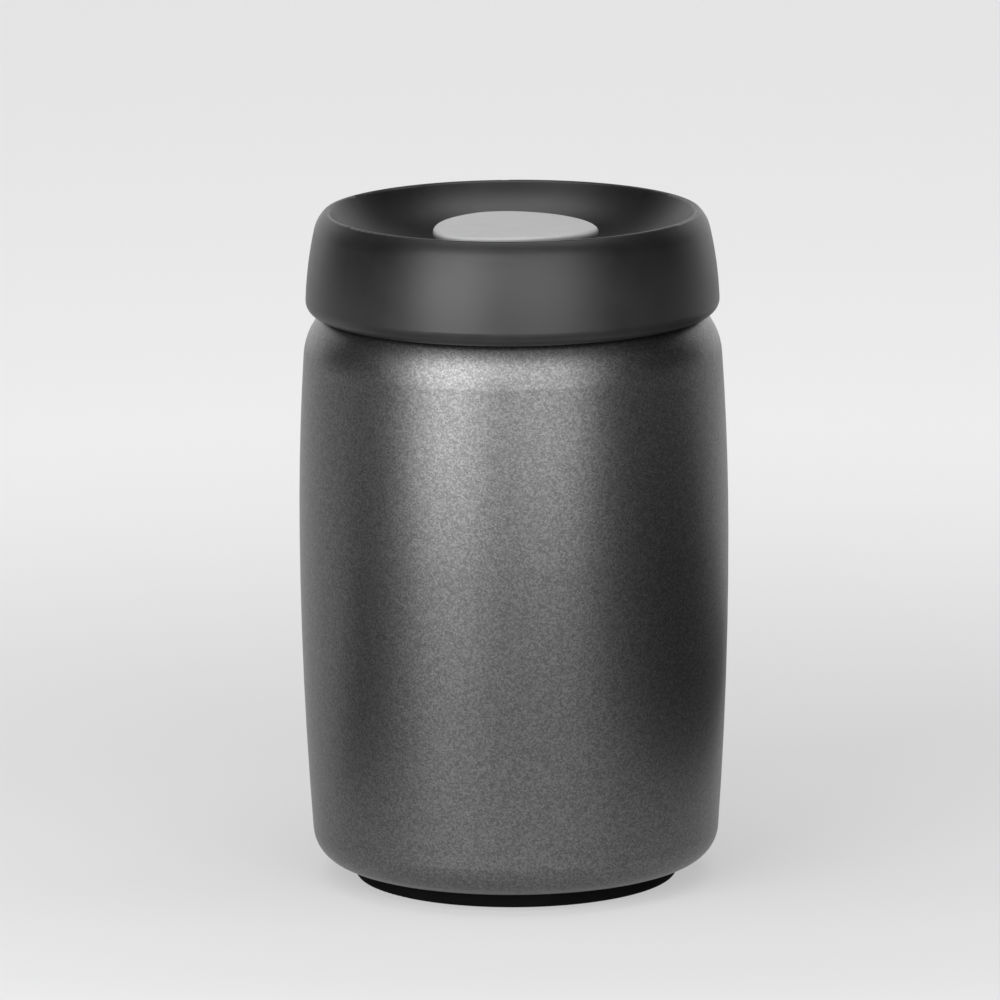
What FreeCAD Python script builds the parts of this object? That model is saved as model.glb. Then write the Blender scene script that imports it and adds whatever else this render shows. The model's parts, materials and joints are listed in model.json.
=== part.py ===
"""Vacuum seal canister: a coated steel jar with a push-on lid that holds a press pump.

Millimetres, +Z up, the origin at the centre of the foot and the front of the canister at -Y.
Pressing the button pushes the piston down its cylinder and blows the air out past the exhaust
valve. The spring lifts the piston again, which draws air from the jar through the filter and the
inlet valve. Lifting the release knob lets air back in, and the lid then pulls straight off.
"""

import FreeCAD
import Part
import math
import os

# General
OVERRUN = 1.0                 # how far a cutting shape passes the face that it cuts
SNUG = 0.05                   # gap between pieces that are pushed together by hand
TOUCHING = 1e-6               # two points closer than this are one point

# Foot pad
PAD_RADIUS = 37.6
PAD_HEIGHT = 3.8
PAD_EDGE = 1.0
PAD_RING = 7.0                # width of the ring that stands on the table
PAD_HOLLOW = 0.8              # depth of the hollow inside that ring

# Jar
JAR_RADIUS = 50.0             # at the widest place of the barrel
JAR_WALL = 1.0
WIDEST_RISE = 78.2            # from the underside up to the widest place
SHOULDER_RISE = 120.0         # from the underside up to where the shoulder begins
BARREL_LOW_CURVE = 975.0      # curve of the wall below the widest place
BARREL_HIGH_CURVE = 637.0     # curve of the wall above it
CORNER_RADIUS = 8.0
SHOULDER_RADIUS = 14.9
NECK_STEP = 7.4               # from the widest radius in to the neck
NECK_FILLET = 2.0
NECK_LENGTH = 9.7
LIP_WIDTH = 1.4
LIP_THICKNESS = 1.0

# Main gasket
SEAT_GAP = 0.1                # between the gasket and the jar's lip
GASKET_FLANGE = 1.2
GASKET_SLEEVE = 0.9
GASKET_SLEEVE_LENGTH = 7.6
GASKET_LIP = 0.6              # how far the two sealing beads stand out
NECK_CLEARANCE = 0.3          # between the beads and the neck
BEAD_SHARES = (0.25, 0.75)    # heights of the beads on the sleeve

# Inner lid
PLUG_DEPTH = 11.5             # from the jar's lip down to the underside of the lid
PLUG_WALL = 1.6
PLUG_CORNER = 1.5
PLUG_RIDGE = 0.5              # ridge that keeps the gasket on
PLATE = 2.0
INNER_FLANGE = 1.6
FLANGE_CLEARANCE = 0.4

# Lid cover
LID_INSET = 1.87              # the cover's widest radius is this much less than the jar's
LID_GAP = 1.2                 # from the shoulder up to the bottom of the cover
SKIRT_WALL = 2.75
SKIRT_DRAFT = 0.9
SKIRT_CURVE = 88.9
SKIRT_EDGE = 3.2
COVER_WALL = 2.0
CHAMBER = 8.0                 # height between the inner lid and the bowl's floor
BOWL_DEPTH = 11.2
BOWL_MARGIN = 2.5             # flat floor left round the button
RIM_ROLL = 8.0                # radius that turns the skirt inwards below the rim
RIM_SLOPE = 45.0              # degrees that it has turned at the rim
RIM_EDGE = 1.0                # radius of the rim itself
COLLAR_WALL = 1.6
COLLAR_DROP = 4.0             # length of the button's guide below the floor
CLAMP_RIB = 1.8
CLAMP_INSET = 0.45            # from the edge of the cylinder's flange in to the rib on it
TRIM_CLEARANCE = 0.4          # between the ribs under the floor and the inner lid's wall

# Button
BUTTON_BORE_SHARE = 0.905     # its reach at the corners within the cylinder's bore
BUTTON_LOBE_SHARE = 0.066     # how far its corners stand out and its sides draw in
BUTTON_CORNER_SHARE = 0.57    # radius of its corners
BUTTON_TURN = -18.0           # degrees from +X to its first corner
BUTTON_PLATE = 2.5            # thickness of its top at the corners
BUTTON_UNDERCUT = 2.0         # from the top's edge in to the skirt below it
BUTTON_WALL = 1.8
BUTTON_RECESS = 3.0           # from the rim down to the top of the button
BUTTON_CROWN = 0.5
BUTTON_EDGE = 1.2
BUTTON_GAP = 0.35
NOTCH_WIDTH = 3.0
NOTCH_HEIGHT = 1.2
CORNERS = 3

# Piston
PUMP_STROKE = 7.5
PISTON_LENGTH = 10.0
PISTON_CLEARANCE = 0.3
PISTON_WALL = 3.3
PISTON_CROWN = 2.0
UPSTAND_HEIGHT = 5.0
UPSTAND_WALL = 1.6
GROOVE_DEPTH = 1.8
GROOVE_RISE = 1.2
GROOVE_HEIGHT = 3.0
SEAL_CLEARANCE = 0.1
SEAL_LIP = 0.6
BUMPER = 0.8
STOP_GAP = 0.1

# Pump cylinder
SCREW_RING = 11.0             # room for the screws between its flange and the plug's wall
CYLINDER_WALL = 1.6
CYLINDER_FLOOR = 2.0
CYLINDER_FLANGE = 3.0         # width of the flange
CYLINDER_FLANGE_HEIGHT = 2.0
CYLINDER_CORNER = 1.2
PUMP_DEAD_HEIGHT = 2.0        # left under the piston at the end of its stroke
ORING_WIDTH = 1.6
ORING_HEIGHT = 1.1

# Valves
VALVE_RADIUS = 5.5
VALVE_DISC = 0.9
VALVE_DOME = 0.5
VALVE_STEM = 1.4
VALVE_BULB = 2.2
VALVE_BULB_HEIGHT = 1.5
VALVE_LIFT = 0.8
VALVE_CLEARANCE = 0.2
VENT_RADIUS = 0.9
VENT_CIRCLE = 3.7
VENTS = 6

# Return spring
SPRING_RADIUS = 9.0           # to the middle of the wire
SPRING_WIRE = 1.6             # diameter
SPRING_TURNS = 4.5
SPRING_FIT = 0.3
SPIGOT_WALL = 1.0
SPIGOT_HEIGHT = 1.5

# Filter
FILTER_RADIUS = 11.0          # inside of the socket under the cylinder
FILTER_WALL = 1.6
FILTER_SOCKET = 3.6           # depth of the socket
FILTER_CAP_WALL = 1.4
FILTER_CAP_FLOOR = 1.5
FILTER_CAP_CORNER = 0.8
SCREEN_THICKNESS = 0.4
SCREEN_PITCH = 2.3
SCREEN_HOLE = 0.7
SCREEN_BORDER = 1.6
GRILLE_HOLE = 1.7
GRILLE_RING_SHARES = (0.4, 0.74)
GRILLE_HOLES = (6, 12)

# Screws of the lid
SCREWS = 6
SCREW_CORE = 1.2
SCREW_CLEARANCE = 0.4
SCREW_LENGTH = 6.5
SCREW_TIP = 1.0
SCREW_HEAD = 2.8
SCREW_HEAD_HEIGHT = 2.2
SCREW_RECESS_WIDTH = 0.7
SCREW_RECESS_LENGTH = 3.2
SCREW_RECESS_DEPTH = 1.1
SCREW_WELL_CLEARANCE = 0.2
SCREW_BOSS_WALL = 1.9
SCREW_WEB = 1.8               # plastic left over the well in the inner lid
PLUG_CAP = 1.0                # thickness of the rubber caps over the screws

# Vacuum release
RELEASE_MARGIN = 4.0          # from the cylinder's flange out to the release
RELEASE_STEM = 2.0
RELEASE_CLEARANCE = 0.2
RELEASE_HEAD = 3.6
RELEASE_HEAD_HEIGHT = 1.8
RELEASE_HEAD_EDGE = 0.6
RELEASE_WAIST = 2.6
RELEASE_WAIST_HEIGHT = 1.2
RELEASE_POCKET_CLEARANCE = 0.6
RELEASE_POCKET_SINK = 0.6
RELEASE_BOSS_WALL = 1.6
RELEASE_BOSS = 3.0
RELEASE_SEAL = 3.0
RELEASE_SEAL_HEIGHT = 2.6
RELEASE_SEAL_TAPER = 0.8
RELEASE_HOLE = 1.8
STEM_RING_WIDTH = 0.9
STEM_RING_HEIGHT = 1.2

FULL_TURN = 360.0
HALF_TURN = 180.0
QUARTER_TURN = 90.0


# Plane and solid helpers

def polar(centre, radius, angle):
    """The point at an angle, in degrees, on a circle."""
    turn = math.radians(angle)
    return (centre[0] + radius * math.cos(turn), centre[1] + radius * math.sin(turn))


def bearing(start, end):
    """The angle, in degrees, from one point to another."""
    return math.degrees(math.atan2(end[1] - start[1], end[0] - start[0]))


def leg(hypotenuse, other):
    """The third side of a right triangle."""
    return math.sqrt(hypotenuse ** 2 - other ** 2)


def inside_tangent(centre, radius, fillet, height):
    """Centre of a fillet at a height that touches a circle from within."""
    return (centre[0] + leg(radius - fillet, height - centre[1]), height)


def section(items):
    """Edges in the XZ plane through points (r, z) and arcs (centre, radius, start, end)."""
    edges = []
    first = None
    last = None
    for item in items:
        is_arc = len(item) > 2
        start = polar(item[0], item[1], item[2]) if is_arc else item
        end = polar(item[0], item[1], item[3]) if is_arc else item
        if last and math.dist(last, start) > TOUCHING:
            edges.append(Part.LineSegment(upright(last), upright(start)).toShape())
        if is_arc:
            middle = polar(item[0], item[1], (item[2] + item[3]) / 2)
            edges.append(Part.Arc(upright(start), upright(middle), upright(end)).toShape())
        first = first or start
        last = end
    if math.dist(last, first) > TOUCHING:
        edges.append(Part.LineSegment(upright(last), upright(first)).toShape())
    return edges


def upright(spot):
    """A point (r, z) as a place in the XZ plane."""
    return FreeCAD.Vector(spot[0], 0, spot[1])


def turned(items):
    """A solid turned about Z from a closed outline."""
    face = Part.Face(Part.Wire(section(items)))
    return face.revolve(FreeCAD.Vector(0, 0, 0), FreeCAD.Vector(0, 0, 1), FULL_TURN)


def rod(radius, low, high, spot=(0, 0)):
    """An upright cylinder."""
    return Part.makeCylinder(radius, high - low, FreeCAD.Vector(spot[0], spot[1], low))


def tube(inner, outer, low, high, spot=(0, 0)):
    """An upright tube."""
    return rod(outer, low, high, spot).cut(rod(inner, low - OVERRUN, high + OVERRUN, spot))


def circle_of(count, radius, first_angle=0):
    """Places spaced evenly round the axis."""
    return [polar((0, 0), radius, first_angle + FULL_TURN * step / count) for step in range(count)]


def joined(shapes):
    """One solid from overlapping shapes."""
    return shapes[0].fuse(shapes[1:]).removeSplitter()


def without(shape, cutters):
    """A shape less the cutters."""
    return shape.cut(cutters).removeSplitter()


def moved(shape, spot, height=0):
    """A copy of a shape at a place."""
    copy = shape.copy()
    copy.translate(FreeCAD.Vector(spot[0], spot[1], height))
    return copy


# Jar outline, from the foot up
jar_bottom = PAD_HEIGHT
widest_z = jar_bottom + WIDEST_RISE
neck_radius = JAR_RADIUS - NECK_STEP
neck_inner = neck_radius - JAR_WALL
low_centre = (JAR_RADIUS - BARREL_LOW_CURVE, widest_z)
high_centre = (JAR_RADIUS - BARREL_HIGH_CURVE, widest_z)
corner_z = jar_bottom + CORNER_RADIUS
corner_centre = inside_tangent(low_centre, BARREL_LOW_CURVE, CORNER_RADIUS, corner_z)
corner_angle = bearing(low_centre, corner_centre)
shoulder_angle = math.degrees(math.asin((SHOULDER_RISE - WIDEST_RISE) / BARREL_HIGH_CURVE))
shoulder_centre = polar(high_centre, BARREL_HIGH_CURVE - SHOULDER_RADIUS, shoulder_angle)
fillet_r = neck_radius + NECK_FILLET
fillet_rise = leg(SHOULDER_RADIUS + NECK_FILLET, fillet_r - shoulder_centre[0])
fillet_centre = (fillet_r, shoulder_centre[1] + fillet_rise)
neck_angle = bearing(shoulder_centre, fillet_centre)
neck_top = fillet_centre[1] + NECK_LENGTH
lip_radius = neck_radius + LIP_WIDTH

# Heights of the lid, from the jar's lip
gasket_bottom = neck_top + SEAT_GAP
flange_bottom = gasket_bottom + GASKET_FLANGE
flange_top = flange_bottom + INNER_FLANGE
plate_bottom = neck_top - PLUG_DEPTH
plate_top = plate_bottom + PLATE
floor_under = plate_top + CHAMBER
bowl_floor = floor_under + COVER_WALL
rim_z = bowl_floor + BOWL_DEPTH

# Radii of the inner lid and its gasket, from the neck inwards
bead_radius = neck_inner - NECK_CLEARANCE
sleeve_radius = bead_radius - GASKET_LIP
plug_radius = sleeve_radius - GASKET_SLEEVE
plug_inner = plug_radius - PLUG_WALL
sleeve_bottom = gasket_bottom - GASKET_SLEEVE_LENGTH

# Cover outline
skirt_radius = JAR_RADIUS - LID_INSET
skirt_inner = skirt_radius - SKIRT_WALL
skirt_inner_top = skirt_inner - SKIRT_DRAFT
flange_radius = skirt_inner_top - FLANGE_CLEARANCE
shoulder_height = shoulder_centre[1] + leg(SHOULDER_RADIUS, skirt_inner - shoulder_centre[0])
lid_bottom = shoulder_height + LID_GAP
side_centre = (skirt_radius - SKIRT_CURVE, lid_bottom)
edge_centre = inside_tangent(side_centre, SKIRT_CURVE, SKIRT_EDGE, lid_bottom + SKIRT_EDGE)
roll_inset = RIM_ROLL - RIM_EDGE
rim_edge_z = rim_z - RIM_EDGE
roll_z = rim_edge_z - roll_inset * math.sin(math.radians(RIM_SLOPE))
roll_centre = inside_tangent(side_centre, SKIRT_CURVE, RIM_ROLL, roll_z)
rim_edge_centre = polar(roll_centre, roll_inset, RIM_SLOPE)

# Pump and button, from the plug's wall inwards
cylinder_flange = plug_inner - SCREW_RING
cylinder_radius = cylinder_flange - CYLINDER_FLANGE
bore_radius = cylinder_radius - CYLINDER_WALL
piston_radius = bore_radius - PISTON_CLEARANCE
piston_inner = piston_radius - PISTON_WALL
button_reach = bore_radius * BUTTON_BORE_SHARE
button_radius = button_reach / (1 + BUTTON_LOBE_SHARE)
button_flat = button_radius * (1 - BUTTON_LOBE_SHARE)
button_corner = button_radius * BUTTON_CORNER_SHARE

# Heights of the pump, from the lid down
button_top = rim_z - BUTTON_RECESS
cylinder_top = plate_top + CYLINDER_FLANGE_HEIGHT
collar_bottom = floor_under - COLLAR_DROP
piston_top = collar_bottom - STOP_GAP - BUMPER
crown_under = piston_top - PISTON_CROWN
piston_bottom = piston_top - PISTON_LENGTH
groove_bottom = piston_bottom + GROOVE_RISE
groove_top = groove_bottom + GROOVE_HEIGHT
groove_radius = piston_radius - GROOVE_DEPTH
pump_floor = piston_bottom - PUMP_STROKE - PUMP_DEAD_HEIGHT
pump_under = pump_floor - CYLINDER_FLOOR
oring_inner = cylinder_radius + (CYLINDER_FLANGE - ORING_WIDTH) / 2
oring_outer = oring_inner + ORING_WIDTH

# Bowl: an arc from the flat floor up to the rim, which it touches
bowl_floor_radius = button_reach + BUTTON_GAP + BOWL_MARGIN
bowl_run = rim_edge_centre[0] - bowl_floor_radius
bowl_rise = rim_edge_z - bowl_floor
bowl_curve = (bowl_run ** 2 + bowl_rise ** 2 - RIM_EDGE ** 2) / (2 * BOWL_DEPTH)
bowl_centre = (bowl_floor_radius, bowl_floor + bowl_curve)
under_curve = bowl_curve + COVER_WALL
rim_edge_angle = bearing(bowl_centre, rim_edge_centre)
ledge_radius = plug_inner - TRIM_CLEARANCE
ledge_angle = -math.degrees(math.acos((ledge_radius - bowl_floor_radius) / under_curve))

# Filter under the cylinder
socket_radius = FILTER_RADIUS + FILTER_WALL
socket_end = pump_under - FILTER_SOCKET
screen_bottom = socket_end - SCREEN_THICKNESS
filter_cap_radius = socket_radius + SNUG + FILTER_CAP_WALL
filter_cap_bottom = screen_bottom - FILTER_CAP_FLOOR

# Screws, in a ring half way between the cylinder's flange and the plug's wall
screw_circle = (cylinder_flange + plug_inner) / 2
screw_well = SCREW_HEAD + SCREW_WELL_CLEARANCE
screw_boss = screw_well + SCREW_BOSS_WALL / 2
screw_seat = plate_bottom + PLUG_CAP + SCREW_HEAD_HEIGHT
boss_joint = screw_seat + SCREW_WEB
cover_boss = SCREW_CORE + SCREW_BOSS_WALL

# Vacuum release, behind the button
release_spot = (0, cylinder_flange + RELEASE_MARGIN)
pocket_radius = RELEASE_HEAD + RELEASE_POCKET_CLEARANCE
pocket_floor = bowl_floor - RELEASE_POCKET_SINK
release_boss_bottom = pocket_floor - RELEASE_BOSS
release_guide = RELEASE_STEM + RELEASE_CLEARANCE
release_seal_top = plate_top + SNUG + RELEASE_SEAL_HEIGHT
stem_ring_bottom = release_boss_bottom + (RELEASE_BOSS - STEM_RING_HEIGHT) / 2
stem_ring_top = stem_ring_bottom + STEM_RING_HEIGHT
stem_ring_outer = release_guide + STEM_RING_WIDTH


def soft_triangle(grow, low, high):
    """Upright prism on the button's outline, a triangle of six tangent arcs, grown evenly."""
    bulge = button_reach - button_flat
    corner_offset = button_reach - button_corner
    side_offset = (2 * bulge * corner_offset - bulge ** 2) / (corner_offset - 2 * bulge)
    side_radius = button_flat + side_offset + grow
    corner_radius = button_corner + grow
    step = FULL_TURN / CORNERS
    half = bearing(polar((0, 0), side_offset, step / 2 + HALF_TURN), (corner_offset, 0))
    edges = []
    for corner in range(CORNERS):
        angle = BUTTON_TURN + corner * step
        corner_spot = polar((0, 0), corner_offset, angle)
        side_spot = polar((0, 0), side_offset, angle + step / 2 + HALF_TURN)
        edges.append(flat_arc(corner_spot, corner_radius, angle - half, angle + half, low))
        edges.append(flat_arc(side_spot, side_radius, angle + half, angle + step - half, low))
    return Part.Face(Part.Wire(edges)).extrude(FreeCAD.Vector(0, 0, high - low))


def flat_arc(centre, radius, start, end, height):
    """An arc in a level plane."""
    angles = (start, (start + end) / 2, end)
    spots = [FreeCAD.Vector(*polar(centre, radius, angle), height) for angle in angles]
    return Part.Arc(*spots).toShape()


# Jar and foot

def jar_body():
    """Drawn steel shell: flat bottom, barrel wall, shoulder, neck and turned-out lip."""
    lip_centre = (lip_radius - LIP_THICKNESS / 2, neck_top - LIP_THICKNESS / 2)
    outer = [
        (0, jar_bottom),
        (corner_centre, CORNER_RADIUS, -QUARTER_TURN, corner_angle),
        (low_centre, BARREL_LOW_CURVE, corner_angle, 0),
        (high_centre, BARREL_HIGH_CURVE, 0, shoulder_angle),
        (shoulder_centre, SHOULDER_RADIUS, shoulder_angle, neck_angle),
        (fillet_centre, NECK_FILLET, neck_angle + HALF_TURN, HALF_TURN),
        (neck_radius, neck_top - LIP_THICKNESS),
        (lip_centre, LIP_THICKNESS / 2, -QUARTER_TURN, QUARTER_TURN),
    ]
    inner = [
        (neck_inner, neck_top),
        (fillet_centre, NECK_FILLET + JAR_WALL, HALF_TURN, neck_angle + HALF_TURN),
        (shoulder_centre, SHOULDER_RADIUS - JAR_WALL, neck_angle, shoulder_angle),
        (high_centre, BARREL_HIGH_CURVE - JAR_WALL, shoulder_angle, 0),
        (low_centre, BARREL_LOW_CURVE - JAR_WALL, 0, corner_angle),
        (corner_centre, CORNER_RADIUS - JAR_WALL, corner_angle, -QUARTER_TURN),
        (0, jar_bottom + JAR_WALL),
    ]
    return turned(outer + inner)


def base_pad():
    """Rubber pad glued under the jar, hollow inside its standing ring."""
    hollow = PAD_RADIUS - PAD_RING
    return turned([
        (0, PAD_HOLLOW),
        (hollow, PAD_HOLLOW),
        (hollow + PAD_HOLLOW, 0),
        ((PAD_RADIUS - PAD_EDGE, PAD_EDGE), PAD_EDGE, -QUARTER_TURN, 0),
        (PAD_RADIUS, PAD_HEIGHT),
        (0, PAD_HEIGHT),
    ])


# Lid

def cover_blank():
    """The cover's outside and bowl, not yet hollowed from below."""
    edge_angle = bearing(side_centre, edge_centre)
    roll_angle = bearing(side_centre, roll_centre)
    return turned([
        (0, lid_bottom),
        (edge_centre, SKIRT_EDGE, -QUARTER_TURN, edge_angle),
        (side_centre, SKIRT_CURVE, edge_angle, roll_angle),
        (roll_centre, RIM_ROLL, roll_angle, RIM_SLOPE),
        (rim_edge_centre, RIM_EDGE, RIM_SLOPE, rim_edge_angle + HALF_TURN),
        (bowl_centre, bowl_curve, rim_edge_angle, -QUARTER_TURN),
        (0, bowl_floor),
    ])


def cover_hollow():
    """Space under the bowl and inside the skirt."""
    return turned([
        (0, lid_bottom - OVERRUN),
        (skirt_inner, lid_bottom - OVERRUN),
        (skirt_inner, lid_bottom),
        (skirt_inner_top, flange_top),
        (ledge_radius, flange_top),
        (bowl_centre, under_curve, ledge_angle, -QUARTER_TURN),
        (0, floor_under),
    ])


def cover_ribs():
    """What hangs under the bowl: button guide, clamp rib, screw bosses and release guide."""
    clamp_outer = cylinder_flange - CLAMP_INSET
    ribs = [
        soft_triangle(BUTTON_GAP + COLLAR_WALL, collar_bottom, bowl_floor),
        tube(clamp_outer - CLAMP_RIB, clamp_outer, cylinder_top, rim_z),
        rod(pocket_radius + RELEASE_BOSS_WALL, release_boss_bottom, rim_z, release_spot),
    ]
    for spot in circle_of(SCREWS, screw_circle):
        ribs.append(rod(cover_boss, boss_joint, rim_z, spot))
    within = rod(ledge_radius, plate_top, rim_z)
    return joined(ribs).common(within)


def lid_cover():
    """Moulded cover: skirt, rolled rim and finger bowl, with the button's opening."""
    blank = cover_blank()
    shell = joined([blank.cut(cover_hollow()), cover_ribs().common(blank)])
    holes = [
        soft_triangle(BUTTON_GAP, collar_bottom - OVERRUN, rim_z),
        rod(pocket_radius, pocket_floor, rim_z + OVERRUN, release_spot),
        rod(release_guide, release_boss_bottom - OVERRUN, rim_z, release_spot),
        rod(stem_ring_outer, stem_ring_bottom, stem_ring_top, release_spot),
    ]
    hole_end = screw_seat + SCREW_LENGTH + SNUG
    for spot in circle_of(SCREWS, screw_circle):
        holes.append(rod(SCREW_CORE + SNUG, boss_joint - OVERRUN, hole_end, spot))
    return without(shell, holes)


def inner_lid():
    """Liner that plugs the neck and closes the lid from below."""
    ridge_top = sleeve_bottom - SNUG
    body = turned([
        (cylinder_radius + SNUG, plate_bottom),
        ((plug_radius - PLUG_CORNER, plate_bottom + PLUG_CORNER), PLUG_CORNER, -QUARTER_TURN, 0),
        (plug_radius, ridge_top - PLUG_RIDGE),
        (plug_radius + PLUG_RIDGE, ridge_top),
        (plug_radius, ridge_top),
        (plug_radius, flange_bottom),
        (flange_radius, flange_bottom),
        (flange_radius, flange_top),
        (plug_inner, flange_top),
        (plug_inner, plate_top),
        (cylinder_radius + SNUG, plate_top),
    ])
    spots = circle_of(SCREWS, screw_circle)
    bosses = [rod(screw_boss, plate_bottom, boss_joint, spot) for spot in spots]
    holes = [rod(RELEASE_HOLE, plate_bottom - OVERRUN, plate_top + OVERRUN, release_spot)]
    for spot in spots:
        holes.append(rod(screw_well, plate_bottom - OVERRUN, screw_seat, spot))
        holes.append(rod(SCREW_CORE + SCREW_CLEARANCE, plate_bottom, boss_joint + OVERRUN, spot))
    return without(joined([body] + bosses), holes)


def main_gasket():
    """Silicone ring with a flange on the jar's lip and two sealing beads in the neck."""
    beads = []
    for share in BEAD_SHARES:
        spot = (sleeve_radius, sleeve_bottom + share * GASKET_SLEEVE_LENGTH)
        beads.append((spot, GASKET_LIP, -QUARTER_TURN, QUARTER_TURN))
    return turned([
        (plug_radius, sleeve_bottom),
        (sleeve_radius, sleeve_bottom),
        *beads,
        (sleeve_radius, gasket_bottom),
        (lip_radius, gasket_bottom),
        (lip_radius, flange_bottom),
        (plug_radius, flange_bottom),
    ])


def lid_screws():
    """Pan head screws that draw the inner lid up to the cover."""
    head_low = screw_seat - SCREW_HEAD_HEIGHT
    tip = screw_seat + SCREW_LENGTH
    screw = turned([
        (0, head_low),
        ((SCREW_HEAD - SCREW_HEAD_HEIGHT / 2, head_low + SCREW_HEAD_HEIGHT / 2),
         SCREW_HEAD_HEIGHT / 2, -QUARTER_TURN, 0),
        (SCREW_HEAD, screw_seat),
        (SCREW_CORE, screw_seat),
        (SCREW_CORE, tip - SCREW_TIP),
        (0, tip),
    ])
    size = (SCREW_RECESS_LENGTH, SCREW_RECESS_WIDTH)
    slots = []
    for length, width in (size, size[::-1]):
        corner = FreeCAD.Vector(-length / 2, -width / 2, head_low)
        slots.append(Part.makeBox(length, width, SCREW_RECESS_DEPTH, corner))
    screw = without(screw, slots)
    return Part.makeCompound([moved(screw, spot) for spot in circle_of(SCREWS, screw_circle)])


def screw_plugs():
    """Rubber caps that close the screws' wells from the food side."""
    spots = circle_of(SCREWS, screw_circle)
    top = plate_bottom + PLUG_CAP - SNUG
    return Part.makeCompound([rod(screw_well - SNUG, plate_bottom, top, spot) for spot in spots])


# Pump

def button_cap():
    """Grey cap: a soft triangle with a crowned top and a round edge, on a vented skirt."""
    dome_radius = (button_reach ** 2 + BUTTON_CROWN ** 2) / (2 * BUTTON_CROWN)
    dome = Part.makeSphere(dome_radius, FreeCAD.Vector(0, 0, button_top - dome_radius))
    plate_low = button_top - BUTTON_CROWN - BUTTON_PLATE
    plate = soft_triangle(0, plate_low, button_top).common(dome)
    plate = plate.makeFillet(BUTTON_EDGE, [edge for edge in plate.Edges if not is_upright(edge)])
    ceiling = button_top - BUTTON_CROWN - BUTTON_WALL
    skirt = soft_triangle(-BUTTON_UNDERCUT, piston_top, ceiling)
    inside = soft_triangle(-BUTTON_UNDERCUT - BUTTON_WALL, piston_top - OVERRUN, ceiling)
    return without(joined([plate, skirt]), [inside] + vent_notches())


def is_upright(edge):
    """Whether an edge runs straight up."""
    box = edge.BoundBox
    return box.ZLength > box.XLength + box.YLength


def vent_notches():
    """Gaps at the foot of the button's sides, where the pumped air leaves."""
    corner = FreeCAD.Vector(0, -NOTCH_WIDTH / 2, piston_top)
    notch = Part.makeBox(button_reach, NOTCH_WIDTH, NOTCH_HEIGHT, corner)
    notches = []
    for side in range(CORNERS):
        angle = BUTTON_TURN + FULL_TURN * (side + 1 / 2) / CORNERS
        notches.append(notch.copy())
        notches[-1].rotate(FreeCAD.Vector(0, 0, 0), FreeCAD.Vector(0, 0, 1), angle)
    return notches


def piston():
    """Cup with a seal groove, a flange that the cover retains and an upstand in the button."""
    cup = turned([
        (0, crown_under),
        (piston_inner, crown_under),
        (piston_inner, piston_bottom),
        (piston_radius, piston_bottom),
        (piston_radius, groove_bottom),
        (groove_radius, groove_bottom),
        (groove_radius, groove_top),
        (piston_radius, groove_top),
        (piston_radius, piston_top),
        (0, piston_top),
    ])
    outside = -BUTTON_UNDERCUT - BUTTON_WALL - SNUG
    upstand = soft_triangle(outside, crown_under, piston_top + UPSTAND_HEIGHT).cut(
        soft_triangle(outside - UPSTAND_WALL, piston_top, piston_top + UPSTAND_HEIGHT + OVERRUN))
    return without(joined([cup, upstand]), vent_notches() + valve_holes(crown_under, piston_top))


def valve_holes(low, high):
    """Hole for a valve's stem and the vents that its disc covers."""
    holes = [rod(VALVE_STEM + VALVE_CLEARANCE, low - OVERRUN, high + OVERRUN)]
    for spot in circle_of(VENTS, VENT_CIRCLE):
        holes.append(rod(VENT_RADIUS, low - OVERRUN, high + OVERRUN, spot))
    return holes


def valve(low, high):
    """Silicone mushroom valve: its disc covers the vents and its bulb limits the lift."""
    seat = high + SNUG
    bulb_top = low - VALVE_LIFT
    return turned([
        (0, bulb_top - VALVE_BULB_HEIGHT),
        (VALVE_STEM, bulb_top - VALVE_BULB_HEIGHT),
        (VALVE_BULB, bulb_top),
        (VALVE_STEM, bulb_top),
        (VALVE_STEM, seat),
        (VALVE_RADIUS, seat),
        (VALVE_RADIUS, seat + VALVE_DISC - VALVE_DOME),
        (VALVE_STEM, seat + VALVE_DISC),
        (0, seat + VALVE_DISC),
    ])


def exhaust_valve():
    """Valve in the piston's crown."""
    return valve(crown_under, piston_top)


def inlet_valve():
    """Valve in the cylinder's floor."""
    return valve(pump_under, pump_floor)


def piston_seal():
    """Lip seal in the piston's groove, open downwards."""
    low = groove_bottom + SNUG
    high = groove_top - SNUG
    inner = groove_radius + SNUG
    outer = bore_radius - SEAL_CLEARANCE
    return turned([
        (inner, low),
        ((inner + outer) / 2, (low + high) / 2),
        (outer - SEAL_LIP, low),
        (outer, low + SEAL_LIP),
        (outer - SEAL_LIP, high),
        (inner, high),
    ])


def stop_bumper():
    """Thin ring on the piston that softens its stop under the button's guide."""
    ring = rod(piston_radius, piston_top, piston_top + BUMPER)
    return ring.cut(soft_triangle(BUTTON_GAP, piston_top - OVERRUN, piston_top + BUMPER + OVERRUN))


def pump_cylinder():
    """Cup under the piston with a clamped flange, spring spigot and filter socket."""
    cup = turned([
        (0, pump_under),
        (FILTER_RADIUS, pump_under),
        (FILTER_RADIUS, socket_end),
        (socket_radius, socket_end),
        (socket_radius, pump_under),
        ((cylinder_radius - CYLINDER_CORNER, pump_under + CYLINDER_CORNER),
         CYLINDER_CORNER, -QUARTER_TURN, 0),
        (cylinder_radius, plate_top),
        (oring_inner, plate_top),
        (oring_inner, plate_top + ORING_HEIGHT),
        (oring_outer, plate_top + ORING_HEIGHT),
        (oring_outer, plate_top),
        (cylinder_flange, plate_top),
        (cylinder_flange, cylinder_top),
        (bore_radius, cylinder_top),
        (bore_radius, pump_floor),
        (0, pump_floor),
    ])
    spigot = SPRING_RADIUS - SPRING_WIRE / 2 - SPRING_FIT
    ring = tube(spigot - SPIGOT_WALL, spigot, pump_under, pump_floor + SPIGOT_HEIGHT)
    return without(joined([cup, ring]), valve_holes(pump_under, pump_floor))


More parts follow.
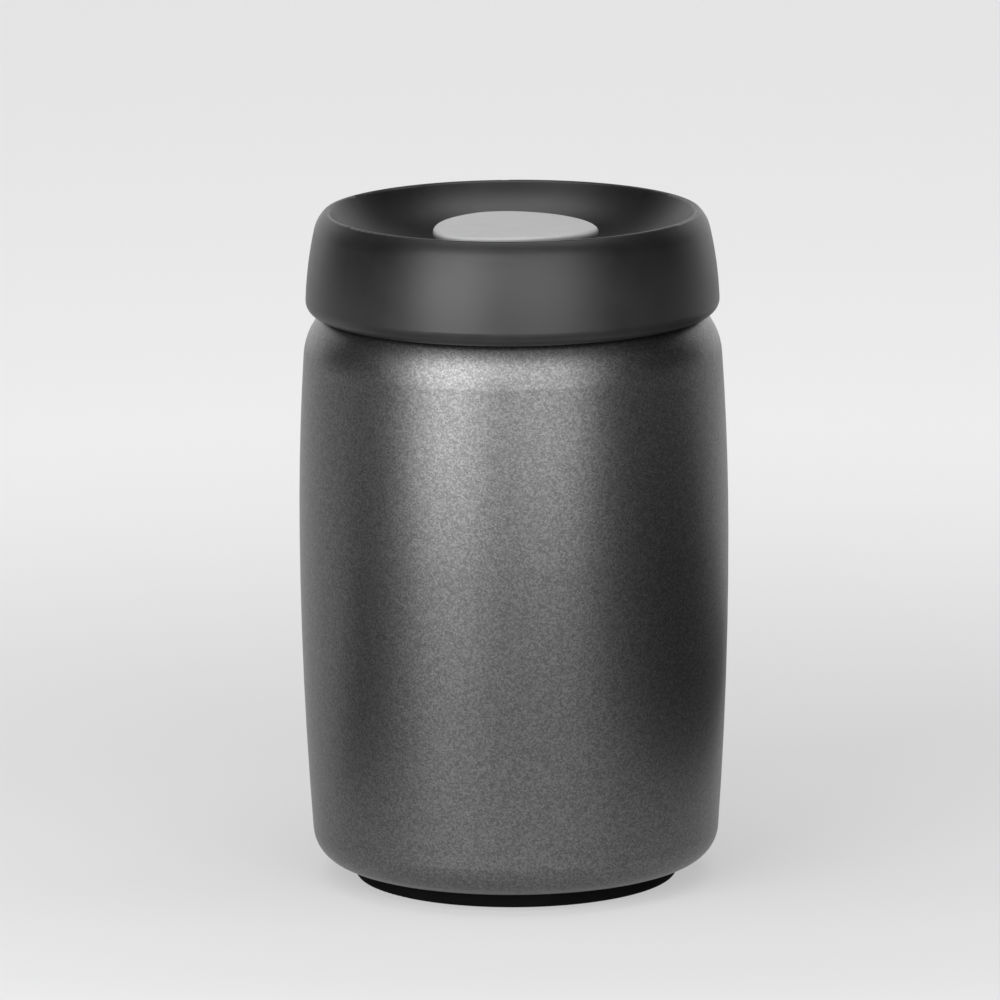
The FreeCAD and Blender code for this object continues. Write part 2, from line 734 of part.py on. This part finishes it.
def cylinder_seal():
    """Ring squeezed between the cylinder's flange and the inner lid."""
    middle = (plate_top + plate_top + ORING_HEIGHT) / 2
    half = ORING_HEIGHT / 2 - SNUG
    return turned([
        ((oring_inner + SNUG + half, middle), half, QUARTER_TURN + HALF_TURN, QUARTER_TURN),
        ((oring_outer - SNUG - half, middle), half, QUARTER_TURN, -QUARTER_TURN),
    ])


def spring_spot(turn):
    """Place and direction on the spring's helix after a number of turns."""
    low = pump_floor + SPRING_WIRE / 2 + SNUG
    high = crown_under - SPRING_WIRE / 2 - SNUG
    angle = 2 * math.pi * turn
    rise = (high - low) / SPRING_TURNS
    across = SPRING_RADIUS * math.cos(angle)
    along = SPRING_RADIUS * math.sin(angle)
    place = FreeCAD.Vector(across, along, low + rise * turn)
    sweep = FreeCAD.Vector(-along, across, rise / (2 * math.pi))
    return place, sweep.normalize()


def leaving_arc(start, direction, end):
    """Arc that leaves a place in a direction and ends at another."""
    chord = end - start
    along = chord * (1 / chord.Length)
    across = direction - along * direction.dot(along)
    sagitta = chord.Length / 2 * math.tan(direction.getAngle(along) / 2)
    return Part.Arc(start, start + chord * (1 / 2) + across.normalize() * sagitta, end).toShape()


def biarc(start, start_way, end, end_way):
    """Two tangent arcs between two places with given directions."""
    chord = end - start
    ways = start_way + end_way
    slope = chord.dot(ways)
    spread = 4 - ways.dot(ways)
    reach = (math.sqrt(slope ** 2 + spread * chord.dot(chord)) - slope) / spread
    joint = (start + start_way * reach + end - end_way * reach) * (1 / 2)
    return [leaving_arc(start, start_way, joint), reversed_arc(joint, end, end_way)]


def reversed_arc(start, end, direction):
    """Arc that arrives at a place in a direction."""
    back = leaving_arc(end, direction * -1, start)
    middle = back.valueAt((back.FirstParameter + back.LastParameter) / 2)
    return Part.Arc(start, middle, end).toShape()


def return_spring():
    """Round wire wound as an open coil between the cylinder's floor and the piston's crown."""
    quarters = round(4 * SPRING_TURNS)
    stations = [spring_spot(SPRING_TURNS * step / quarters) for step in range(quarters + 1)]
    edges = []
    for (start, start_way), (end, end_way) in zip(stations, stations[1:]):
        edges.extend(biarc(start, start_way, end, end_way))
    place, way = stations[0]
    wire = Part.Wire(Part.makeCircle(SPRING_WIRE / 2, place, way))
    print("spring: least gap between turns", round(spring_gap(), 3), "mm")
    return Part.Wire(edges).makePipeShell([wire], True, False)


def spring_gap():
    """Least gap between turns of the spring, on points along its wire."""
    per_turn = 48
    count = round(per_turn * SPRING_TURNS)
    places = [spring_spot(step / per_turn)[0] for step in range(count + 1)]
    least = None
    for index, place in enumerate(places):
        for other in places[index + per_turn // 2:]:
            gap = place.distanceToPoint(other) - SPRING_WIRE
            least = gap if least is None else min(least, gap)
    return least


# Filter

def filter_screen():
    """Punched steel disc that keeps food out of the inlet valve."""
    radius = FILTER_RADIUS + FILTER_WALL / 2
    disc = rod(radius, screen_bottom, socket_end)
    row_step = SCREEN_PITCH * math.sqrt(3) / 2
    rows = int(radius / row_step)
    holes = []
    for row in range(-rows, rows + 1):
        for column in range(-rows, rows + 1):
            spot = (SCREEN_PITCH * (column + (row % 2) / 2), row_step * row)
            if math.hypot(*spot) < FILTER_RADIUS - SCREEN_BORDER:
                holes.append(rod(SCREEN_HOLE, screen_bottom - OVERRUN, socket_end + OVERRUN, spot))
    return disc.cut(holes)


def filter_cap():
    """Cap that snaps over the socket and holds the screen, with a grille of round holes."""
    inner = socket_radius + SNUG
    cap = turned([
        (0, filter_cap_bottom),
        ((filter_cap_radius - FILTER_CAP_CORNER, filter_cap_bottom + FILTER_CAP_CORNER),
         FILTER_CAP_CORNER, -QUARTER_TURN, 0),
        (filter_cap_radius, pump_under - SNUG),
        (inner, pump_under - SNUG),
        (inner, screen_bottom),
        (0, screen_bottom),
    ])
    holes = []
    for share, count in zip(GRILLE_RING_SHARES, GRILLE_HOLES):
        for spot in circle_of(count, share * FILTER_RADIUS):
            holes.append(rod(GRILLE_HOLE, filter_cap_bottom - OVERRUN, screen_bottom + OVERRUN, spot))
    return without(cap, holes)


# Vacuum release

def release_knob():
    """Small pull knob in the bowl with a stem down to its seal."""
    waist_top = pocket_floor + SNUG + RELEASE_WAIST_HEIGHT
    head_top = waist_top + RELEASE_HEAD_HEIGHT
    edge_centre = (RELEASE_HEAD - RELEASE_HEAD_EDGE, head_top - RELEASE_HEAD_EDGE)
    knob = turned([
        (0, release_seal_top),
        (RELEASE_STEM, release_seal_top),
        (RELEASE_STEM, pocket_floor + SNUG),
        (RELEASE_WAIST, pocket_floor + SNUG),
        (RELEASE_WAIST, waist_top),
        (RELEASE_HEAD, waist_top),
        (edge_centre, RELEASE_HEAD_EDGE, 0, QUARTER_TURN),
        (0, head_top),
    ])
    return moved(knob, release_spot)


def release_seal():
    """Silicone foot on the stem that closes the air hole in the inner lid."""
    low = plate_top + SNUG
    foot = turned([
        (0, low),
        (RELEASE_SEAL - RELEASE_SEAL_TAPER, low),
        (RELEASE_SEAL, low + RELEASE_SEAL_TAPER),
        (RELEASE_SEAL, release_seal_top - RELEASE_SEAL_TAPER),
        (RELEASE_STEM, release_seal_top),
        (0, release_seal_top),
    ])
    return moved(foot, release_spot)


def stem_ring():
    """Small ring in the cover that grips the release stem."""
    inner = RELEASE_STEM + SNUG
    outer = stem_ring_outer - SNUG
    return tube(inner, outer, stem_ring_bottom + SNUG, stem_ring_top - SNUG, release_spot)


PIECES = (
    jar_body, base_pad, lid_cover, inner_lid, main_gasket, lid_screws, screw_plugs, button_cap, piston,
    exhaust_valve, inlet_valve, piston_seal, stop_bumper, pump_cylinder, cylinder_seal, return_spring,
    filter_screen, filter_cap, release_knob, release_seal, stem_ring,
)

os.makedirs("parts", exist_ok=True)
for piece in PIECES:
    shape = piece()
    shape.exportStep(f"parts/{piece.__name__}.step")
    print(piece.__name__, len(shape.Solids), "solids", round(shape.Volume, 1), "mm3", shape.isValid())
print("height", round(rim_z, 2), "lid bottom", round(lid_bottom, 2), "neck top", round(neck_top, 2))
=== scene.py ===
"""Looks of the vacuum seal canister: finishes, jar shell, spring wire, stage, light and camera.

Metres, in the frame of the model: +Z up, the front at -Y and the foot's centre at the origin.
Angles are in degrees, light power in watts and colours in linear light.
"""

import bpy
import json
import math
from mathutils import Euler, Matrix, Vector


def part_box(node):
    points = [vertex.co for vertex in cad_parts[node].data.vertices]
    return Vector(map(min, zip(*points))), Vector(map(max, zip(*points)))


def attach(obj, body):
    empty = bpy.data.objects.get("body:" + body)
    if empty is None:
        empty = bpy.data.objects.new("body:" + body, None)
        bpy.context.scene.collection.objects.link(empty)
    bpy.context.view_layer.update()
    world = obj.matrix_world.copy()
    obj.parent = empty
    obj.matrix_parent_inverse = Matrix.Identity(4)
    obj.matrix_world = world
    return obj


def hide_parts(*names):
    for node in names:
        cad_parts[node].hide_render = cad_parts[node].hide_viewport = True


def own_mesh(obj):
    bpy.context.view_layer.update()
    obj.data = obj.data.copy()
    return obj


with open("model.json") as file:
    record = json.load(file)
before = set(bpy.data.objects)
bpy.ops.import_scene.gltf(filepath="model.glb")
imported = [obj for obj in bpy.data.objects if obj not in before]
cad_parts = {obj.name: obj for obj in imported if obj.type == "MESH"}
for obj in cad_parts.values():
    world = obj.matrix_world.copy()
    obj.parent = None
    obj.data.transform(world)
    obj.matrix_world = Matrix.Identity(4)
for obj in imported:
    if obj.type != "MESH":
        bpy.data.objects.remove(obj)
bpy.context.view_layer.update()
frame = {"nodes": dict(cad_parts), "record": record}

MM = 0.001

# Camera, fitted to the photograph's frame
PHOTO_WIDTH = 1000.0
SENSOR = 36.0                  # lens and sensor in millimetres
LENS = 370.5
CAMERA_DISTANCE = 2.4
CAMERA_ELEVATION = 11.45
CAMERA_ROLL = -0.37
CAMERA_REACH = 9.6             # nothing farther than this is drawn
AIM_HEIGHT = 0.079
AIM_PIXEL = (514.1, 540.9)     # where that height on the axis lies in the photograph

# Jar
NECK_LENGTH = 9.7 * MM         # bare steel from here up to the lip
LEVEL = 1e-3                   # a face that leans less than this looks straight up or down

# Spring
SPRING_WIRE = 1.6 * MM
SPRING_TURNS = 4.5
SPRING_STEPS = 64              # rings for each turn
WIRE_SIDES = 20

# Noise detail, in doublings of its grain
PLAIN_DETAIL = 2.0
FINE_DETAIL = 3.0

# Speckled coating
COAT_DARK = (0.078, 0.078, 0.079)
COAT_MID = (0.12, 0.12, 0.121)
COAT_LIGHT = (0.185, 0.185, 0.185)
COAT_STOPS = (0.15, 0.5, 0.88)
COAT_GRAIN = 0.36 * MM
COAT_CLOUD_SHARE = 0.5
COAT_PEEL = 1.6 * MM           # size of the film's slow waves
COAT_ROUGH = (0.36, 0.44)
COAT_RELIEF = 0.02 * MM
COAT_RELIEF_SHARE = 0.6

# Bare steel
STEEL_DARK = (0.46, 0.455, 0.45)
STEEL_LIGHT = (0.66, 0.655, 0.645)
STEEL_STOPS = (0.3, 0.7)
STEEL_LINE = 0.25 * MM
STEEL_STRETCH = (0.08, 0.08, 1.0)
STEEL_CLOUD = 9 * MM
STEEL_CLOUD_SHARE = 0.35
STEEL_ROUGH = (0.22, 0.4)
STEEL_RELIEF = 0.006 * MM

# Moulded pieces
MOULDED_STOPS = (0.35, 0.65)
CLOUD_GRAINS = 24              # size of the clouding, in grains of the skin
MOULDED_CLOUD_SHARE = 0.5
LID_LOOK = {
    "dark": (0.0085, 0.0085, 0.0087), "light": (0.012, 0.012, 0.0122),
    "grain": 0.22 * MM, "rough": (0.38, 0.46), "relief": 0.012 * MM,
}
BUTTON_LOOK = {
    "dark": (0.425, 0.425, 0.429), "light": (0.47, 0.47, 0.475),
    "grain": 0.22 * MM, "rough": (0.5, 0.6), "relief": 0.006 * MM,
}
RUBBER_LOOK = {
    "dark": (0.003, 0.003, 0.003), "light": (0.005, 0.005, 0.005),
    "grain": 0.4 * MM, "rough": (0.75, 0.9), "relief": 0.03 * MM,
}
LINER_LOOK = {
    "dark": (0.045, 0.045, 0.047), "light": (0.06, 0.06, 0.062),
    "grain": 0.5 * MM, "rough": (0.32, 0.42), "relief": 0.008 * MM,
}
PUMP_LOOK = {
    "dark": (0.6, 0.6, 0.585), "light": (0.7, 0.7, 0.69),
    "grain": 0.6 * MM, "rough": (0.28, 0.36), "relief": 0.006 * MM,
}
SILICONE_LOOK = {
    "dark": (0.5, 0.5, 0.485), "light": (0.62, 0.62, 0.605),
    "grain": 0.5 * MM, "rough": (0.42, 0.55), "relief": 0.01 * MM,
}
LID_GLOSS = 0.36
BUTTON_GLOSS = 0.2
RUBBER_GLOSS = 0.03
SILICONE_DEPTH = 1.2 * MM      # how far light goes in
SILICONE_DEPTH_SHARES = (1.0, 0.95, 0.9)
SILICONE_GLOW_SHARE = 0.25

# Floor and wall
FLOOR_SIZE = 12.0
# Painted shade: the floor's paint is darker near the canister, standing in for a soft shadow round it
PAINT_NEAR_SHADED = (0.58, 0.58, 0.585)
PAINT_FAR = (0.82, 0.82, 0.825)
PAINTED_SHADE_STOPS = (0.05, 0.6)      # painted shade: the paint is darker near the foot and lightens between these distances from it
PAINT_ROUGH = 0.9
PAINT_GLOSS = 0.1
GLOW_SHARE = 0.7               # how much of what the camera sees is even glow
FLOOR_GLOW = 1.15
WALL_GLOW = 2.2
WALL_PLACE = 1.6               # behind the axis
WALL_REACH = 2.0
WALL_HEIGHT = 1.2

# Dark card and flag, outside the picture
CLOTH_COLOUR = (0.03, 0.03, 0.03, 1)
CLOTH_ROUGH = 0.9
CARD_INSIDE = (0.125, 0.155)   # from the axis to its edge at the sides and in front
CARD_REACH = 1.0
CARD_BACKS = (0.02, 0.25)      # how far back it goes at the left and at the right
CARD_LIFT = 0.5 * MM
FLAG_PLACE = 0.056             # in front of the axis
FLAG_HEIGHTS = (0.1595, 0.25)
FLAG_REACH = 0.085

# Lights: azimuth 0 is the front and 90 the right
KEY_LIGHT = {"azimuth": -33, "elevation": 21, "distance": 0.6, "size": (0.42, 0.6), "power": 5.4}
FILL_LIGHT = {"azimuth": 18, "elevation": 21, "distance": 0.6, "size": (0.44, 0.6), "power": 3.4}
TOP_LIGHT = {"azimuth": 0, "elevation": 88, "distance": 1.5, "size": (1.5, 0.8), "power": 20}
WORLD_COLOUR = (1.0, 1.0, 1.0, 1)
WORLD_STRENGTH = 0.02


class Finish:
    """A node material under construction, in the object's own coordinates."""

    def __init__(self, name):
        self.material = bpy.data.materials.new(name)
        self.material.use_nodes = True
        self.tree = self.material.node_tree
        self.shader = self.tree.nodes["Principled BSDF"]
        self.place = self.add("ShaderNodeTexCoord").outputs["Object"]

    def add(self, kind, **settings):
        """A new node with its settings."""
        node = self.tree.nodes.new(kind)
        for name, value in settings.items():
            setattr(node, name, value)
        return node

    def link(self, source, node, socket):
        """Joins an output to a node's input."""
        self.tree.links.new(source, node.inputs[socket])

    def stretched(self, stretch):
        """The coordinates, scaled along each axis."""
        mapping = self.add("ShaderNodeMapping")
        mapping.inputs["Scale"].default_value = stretch
        self.link(self.place, mapping, "Vector")
        return mapping.outputs["Vector"]

    def noise(self, size, detail=PLAIN_DETAIL, stretch=None):
        """Cloudy noise whose spots are about that size."""
        node = self.add("ShaderNodeTexNoise")
        node.inputs["Scale"].default_value = 1 / size
        node.inputs["Detail"].default_value = detail
        self.link(self.stretched(stretch) if stretch else self.place, node, "Vector")
        return node.outputs["Fac"]

    def cells(self, size):
        """A random value for each cell of about that size."""
        node = self.add("ShaderNodeTexVoronoi")
        node.inputs["Scale"].default_value = 1 / size
        self.link(self.place, node, "Vector")
        split = self.add("ShaderNodeSeparateColor")
        self.link(node.outputs["Color"], split, "Color")
        return split.outputs["Red"]

    def distance(self):
        """How far a place is from the object's origin."""
        node = self.add("ShaderNodeVectorMath", operation="LENGTH")
        self.link(self.place, node, "Vector")
        return node.outputs["Value"]

    def mixed(self, first, second, share):
        """A blend of two values."""
        node = self.add("ShaderNodeMix", data_type="FLOAT")
        node.inputs["Factor"].default_value = share
        self.link(first, node, "A")
        self.link(second, node, "B")
        return node.outputs["Result"]

    def larger(self, first, second):
        """The larger of two values."""
        node = self.add("ShaderNodeMath", operation="MAXIMUM")
        self.link(first, node, 0)
        self.link(second, node, 1)
        return node.outputs["Value"]

    def scaled(self, value, factor):
        """A value times a number."""
        node = self.add("ShaderNodeMath", operation="MULTIPLY")
        self.link(value, node, 0)
        node.inputs[1].default_value = factor
        return node.outputs["Value"]

    def ramp(self, value, stops, colours, blend="LINEAR"):
        """A colour from a value, through colours at rising stops."""
        node = self.add("ShaderNodeValToRGB")
        elements = node.color_ramp.elements
        for stop in stops[1:-1]:
            elements.new(stop)
        for element, stop, colour in zip(elements, stops, colours):
            element.position = stop
            element.color = (*colour, 1)
        node.color_ramp.interpolation = blend
        self.link(value, node, "Fac")
        return node.outputs["Color"]

    def spread(self, value, low, high):
        """A value from 0 to 1 spread over another range."""
        node = self.add("ShaderNodeMapRange")
        node.inputs["To Min"].default_value = low
        node.inputs["To Max"].default_value = high
        self.link(value, node, "Value")
        return node.outputs["Result"]

    def bump(self, height, depth, strength=1.0):
        """Small relief from a value, as deep as given."""
        node = self.add("ShaderNodeBump")
        node.inputs["Distance"].default_value = depth
        node.inputs["Strength"].default_value = strength
        self.link(height, node, "Height")
        self.link(node.outputs["Normal"], self.shader, "Normal")

    def colour(self, output):
        """Sets the surface colour."""
        self.link(output, self.shader, "Base Color")

    def roughness(self, value, low, high):
        """Sets a roughness that varies with a value."""
        self.link(self.spread(value, low, high), self.shader, "Roughness")

    def set(self, **values):
        """Sets plain values of the shader, named with _ for spaces."""
        for name, value in values.items():
            self.shader.inputs[name.replace("_", " ")].default_value = value

    def glow(self, paint, strength):
        """Evens out the paint where the camera, gloss or glass sees it, and keeps its shadows."""
        path = self.add("ShaderNodeLightPath")
        seen = path.outputs["Is Camera Ray"]
        for ray in ("Is Glossy Ray", "Is Transmission Ray"):
            seen = self.larger(seen, path.outputs[ray])
        light = self.add("ShaderNodeEmission")
        light.inputs["Strength"].default_value = strength
        self.link(paint, light, "Color")
        mix = self.add("ShaderNodeMixShader")
        self.link(self.scaled(seen, GLOW_SHARE), mix, "Fac")
        self.link(self.shader.outputs["BSDF"], mix, 1)
        self.link(light.outputs["Emission"], mix, 2)
        self.link(mix.outputs["Shader"], self.tree.nodes["Material Output"], "Surface")
        self.material.cycles.emission_sampling = "NONE"


def coat_finish():
    """Gunmetal coating: fine light and dark flakes in a slightly uneven film."""
    finish = Finish("speckled_coat")
    flakes = finish.cells(COAT_GRAIN)
    cloud = finish.noise(COAT_GRAIN, FINE_DETAIL)
    grain = finish.mixed(flakes, cloud, COAT_CLOUD_SHARE)
    finish.colour(finish.ramp(grain, COAT_STOPS, (COAT_DARK, COAT_MID, COAT_LIGHT)))
    finish.roughness(finish.noise(COAT_PEEL), *COAT_ROUGH)
    finish.bump(grain, COAT_RELIEF, COAT_RELIEF_SHARE)
    finish.set(Metallic=1.0)
    return finish.material


def steel_finish():
    """Bare stainless steel with fine lines drawn round the axis."""
    finish = Finish("bare_steel")
    lines = finish.noise(STEEL_LINE, FINE_DETAIL, STEEL_STRETCH)
    cloud = finish.noise(STEEL_CLOUD)
    grain = finish.mixed(lines, cloud, STEEL_CLOUD_SHARE)
    finish.colour(finish.ramp(grain, STEEL_STOPS, (STEEL_DARK, STEEL_LIGHT)))
    finish.roughness(lines, *STEEL_ROUGH)
    finish.bump(lines, STEEL_RELIEF)
    finish.set(Metallic=1.0)
    return finish.material


def moulded_finish(name, dark, light, grain, rough, relief):
    """Moulded plastic or rubber: even colour with faint clouding and a fine textured skin."""
    finish = Finish(name)
    skin = finish.noise(grain)
    cloud = finish.noise(CLOUD_GRAINS * grain, FINE_DETAIL)
    shade = finish.mixed(skin, cloud, MOULDED_CLOUD_SHARE)
    finish.colour(finish.ramp(shade, MOULDED_STOPS, (dark, light)))
    finish.roughness(cloud, *rough)
    finish.bump(skin, relief)
    return finish


def lid_finish():
    """Soft matt charcoal plastic."""
    finish = moulded_finish("lid_plastic", **LID_LOOK)
    finish.set(Specular_IOR_Level=LID_GLOSS)
    return finish.material


def button_finish():
    """Matt light grey plastic."""
    finish = moulded_finish("button_plastic", **BUTTON_LOOK)
    finish.set(Specular_IOR_Level=BUTTON_GLOSS)
    return finish.material


def rubber_finish():
    """Near black rubber."""
    finish = moulded_finish("foot_rubber", **RUBBER_LOOK)
    finish.set(Specular_IOR_Level=RUBBER_GLOSS)
    return finish.material


def liner_finish():
    """Smoother charcoal plastic."""
    return moulded_finish("liner_plastic", **LINER_LOOK).material


def pump_finish():
    """White moulded plastic."""
    return moulded_finish("pump_plastic", **PUMP_LOOK).material


def silicone_finish():
    """Milky silicone that lets a little light in."""
    finish = moulded_finish("silicone", **SILICONE_LOOK)
    finish.set(Subsurface_Weight=SILICONE_GLOW_SHARE, Subsurface_Radius=SILICONE_DEPTH_SHARES)
    finish.set(Subsurface_Scale=SILICONE_DEPTH)
    return finish.material


def dress_nodes():
    """Gives every node the finish of its slot."""
    finishes = {
        "coated_steel": coat_finish(),
        "foot_rubber": rubber_finish(),
        "lid_plastic": lid_finish(),
        "liner_plastic": liner_finish(),
        "silicone": silicone_finish(),
        "button_plastic": button_finish(),
        "pump_plastic": pump_finish(),
        "steel": steel_finish(),
    }
    for piece in frame["record"]["subparts"]:
        mesh = frame["nodes"][piece["node"]].data
        mesh.materials.clear()
        mesh.materials.append(finishes[piece["material_slot"]])
    return finishes


def add_piece(name, mesh, body, node):
    """Shows a mesh in place of a node."""
    piece = bpy.data.objects.new(name, mesh)
    bpy.context.scene.collection.objects.link(piece)
    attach(piece, body)
    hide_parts(node)
    return piece


def is_bare(face, coat_end):
    """Whether a face of the jar is bare steel: inside, on the neck or on the lip."""
    outward = face.normal.xy.dot(face.center.xy.normalized())
    if abs(outward) < LEVEL:
        return face.normal.z > 0
    return outward < 0 or face.center.z > coat_end


def add_jar(finishes):
    """The jar, coated outside and bare inside."""
    mesh = frame["nodes"]["jar_body"].data.copy()
    mesh.materials.append(finishes["steel"])
    coat_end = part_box("jar_body")[1][2] - NECK_LENGTH
    for face in mesh.polygons:
        face.material_index = int(is_bare(face, coat_end))
    add_piece("jar_shell", mesh, "jar", "jar_body")


def spring_ring(turn, low, high, radius):
    """Points round the spring's wire after a number of turns."""
    angle = math.tau * turn
    rise = (high - low) / SPRING_TURNS
    out = Vector((math.cos(angle), math.sin(angle), 0))
    along = Vector((-radius * out.y, radius * out.x, rise / math.tau)).normalized()
    side = along.cross(out)
    middle = radius * out + Vector((0, 0, low + rise * turn))
    points = []
    for step in range(WIRE_SIDES):
        round_wire = math.tau * step / WIRE_SIDES
        points.append(middle + SPRING_WIRE / 2 * (math.cos(round_wire) * out + math.sin(round_wire) * side))
    return points


def spring_mesh(low, high, radius):
    """Round wire along a helix whose middle runs between two heights."""
    count = round(SPRING_TURNS * SPRING_STEPS)
    points = []
    for step in range(count + 1):
        points += spring_ring(step / SPRING_STEPS, low, high, radius)
    faces = []
    for step in range(count):
        for side in range(WIRE_SIDES):
            here = step * WIRE_SIDES + side
            beside = step * WIRE_SIDES + (side + 1) % WIRE_SIDES
            faces.append((here, here + WIRE_SIDES, beside + WIRE_SIDES, beside))
    faces.append(tuple(range(WIRE_SIDES)))
    faces.append(tuple(reversed(range(count * WIRE_SIDES, (count + 1) * WIRE_SIDES))))
    mesh = bpy.data.meshes.new("spring_wire")
    mesh.from_pydata(points, [], faces)
    mesh.shade_smooth()
    return mesh


def add_spring(finishes):
    """Round steel wire in place of the spring, carried with the lid."""
    (left, _, bottom), (right, _, top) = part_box("return_spring")
    half_wire = SPRING_WIRE / 2
    mesh = spring_mesh(bottom + half_wire, top - half_wire, (right - left) / 2 - half_wire)
    mesh.materials.append(finishes["steel"])
    piece = add_piece("spring_wire", mesh, "lid", "return_spring")
    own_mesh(piece)


def add_sheet(name, places, faces, material):
    """A flat sheet of the stage."""
    mesh = bpy.data.meshes.new(name)
    mesh.from_pydata(places, [], faces)
    mesh.materials.append(material)
    sheet = bpy.data.objects.new(name, mesh)
    bpy.context.scene.collection.objects.link(sheet)
    return sheet


def hide_from(sheet, *rays):
    """Keeps a sheet out of some kinds of ray."""
    for ray in rays:
        setattr(sheet, "visible_" + ray, False)


def stage_paint_and_shade(name, glow):
    """Pale paint with painted shade: darker near the canister in place of a soft shadow round it, lighter
    farther away.
    """
    finish = Finish(name)
    # painted shade: darker paint near the canister, in place of a soft shadow
    paint = finish.ramp(finish.distance(), PAINTED_SHADE_STOPS, (PAINT_NEAR_SHADED, PAINT_FAR), "EASE")
    finish.colour(paint)
    finish.set(Roughness=PAINT_ROUGH, Specular_IOR_Level=PAINT_GLOSS)
    finish.glow(paint, glow)
    return finish.material


def dark_cloth(name):
    """Black cloth without gloss."""
    finish = Finish(name)
    finish.set(Base_Color=CLOTH_COLOUR, Roughness=CLOTH_ROUGH, Specular_IOR_Level=0.0)
    return finish.material


def add_floor():
    """Pale floor, with painted shade round the canister."""
    half = FLOOR_SIZE / 2
    places = [(-half, -half, 0), (half, -half, 0), (half, half, 0), (-half, half, 0)]
    add_sheet("floor", places, [(0, 1, 2, 3)], stage_paint_and_shade("floor_paint_and_shade", FLOOR_GLOW))


def upright(y, reach, low, high):
    """Corners of an upright sheet across the axis."""
    return [(-reach, y, low), (reach, y, low), (reach, y, high), (-reach, y, high)]


def add_wall():
    """Pale wall far behind, hidden from the camera."""
    places = upright(WALL_PLACE, WALL_REACH, 0, WALL_HEIGHT)
    wall = add_sheet("wall", places, [(0, 1, 2, 3)], stage_paint_and_shade("wall_paint", WALL_GLOW))
    hide_from(wall, "camera")


def add_card():
    """Dark card on the floor in front and at both sides, which only reflections show."""
    side, front = CARD_INSIDE
    left, right = CARD_BACKS
    far = CARD_REACH
    outer = [(-far, left), (-far, -far), (far, -far), (far, right)]
    inner = [(-side, left), (-side, -front), (side, -front), (side, right)]
    places = [(x, y, CARD_LIFT) for x, y in outer + inner]
    faces = [(0, 1, 5, 4), (1, 2, 6, 5), (2, 3, 7, 6)]
    card = add_sheet("card", places, faces, dark_cloth("card_cloth"))
    hide_from(card, "camera", "diffuse", "shadow", "transmission")


def add_flag():
    """Flag that keeps the two front lights out of the lid's bowl."""
    places = upright(-FLAG_PLACE, FLAG_REACH, *FLAG_HEIGHTS)
    flag = add_sheet("flag", places, [(0, 1, 2, 3)], dark_cloth("flag_cloth"))
    hide_from(flag, "camera", "diffuse", "glossy", "transmission")


def from_angle(azimuth, elevation, distance):
    """A place round the canister's middle."""
    turn = math.radians(azimuth)
    rise = math.radians(elevation)
    level = distance * math.cos(rise)
    return Vector((level * math.sin(turn), -level * math.cos(turn), AIM_HEIGHT + distance * math.sin(rise)))


def facing_middle(place):
    """A stand at a place, with its -Z axis pointing at the canister's middle."""
    turn = (Vector((0, 0, AIM_HEIGHT)) - place).to_track_quat("-Z", "Y")
    return Matrix.Translation(place) @ turn.to_matrix().to_4x4()


def add_light(name, azimuth, elevation, distance, size, power):
    """A softbox that points at the canister."""
    data = bpy.data.lights.new(name, "AREA")
    data.shape = "RECTANGLE"
    data.size, data.size_y = size
    data.energy = power
    light = bpy.data.objects.new(name, data)
    light.matrix_world = facing_middle(from_angle(azimuth, elevation, distance))
    light.visible_camera = False
    bpy.context.scene.collection.objects.link(light)


def add_lights():
    """Soft key from the front left, a weaker one from the right and a wide one overhead."""
    add_light("key", **KEY_LIGHT)
    add_light("fill", **FILL_LIGHT)
    add_light("top", **TOP_LIGHT)
    world = bpy.data.worlds.new("studio")
    world.use_nodes = True
    background = world.node_tree.nodes["Background"]
    background.inputs["Color"].default_value = WORLD_COLOUR
    background.inputs["Strength"].default_value = WORLD_STRENGTH
    bpy.context.scene.world = world


def add_camera():
    """Camera at the photograph's angle, turned so that the axis lands where it does there."""
    data = bpy.data.cameras.new("camera")
    data.sensor_width = SENSOR
    data.lens = LENS
    data.clip_end = CAMERA_REACH
    camera = bpy.data.objects.new("camera", data)
    bpy.context.scene.collection.objects.link(camera)
    focal = LENS / SENSOR * PHOTO_WIDTH
    yaw, pitch = ((pixel - PHOTO_WIDTH / 2) / focal for pixel in AIM_PIXEL)
    roll = Matrix.Rotation(math.radians(CAMERA_ROLL), 4, "Z")
    turn = roll @ Euler((pitch, yaw, 0)).to_matrix().to_4x4()
    camera.matrix_world = facing_middle(from_angle(0, CAMERA_ELEVATION, CAMERA_DISTANCE)) @ turn
    bpy.context.scene.camera = camera


finishes = dress_nodes()
add_jar(finishes)
add_spring(finishes)
add_floor()
add_wall()
add_card()
add_flag()
add_lights()
add_camera()
bpy.context.scene.view_settings.view_transform = "Standard"
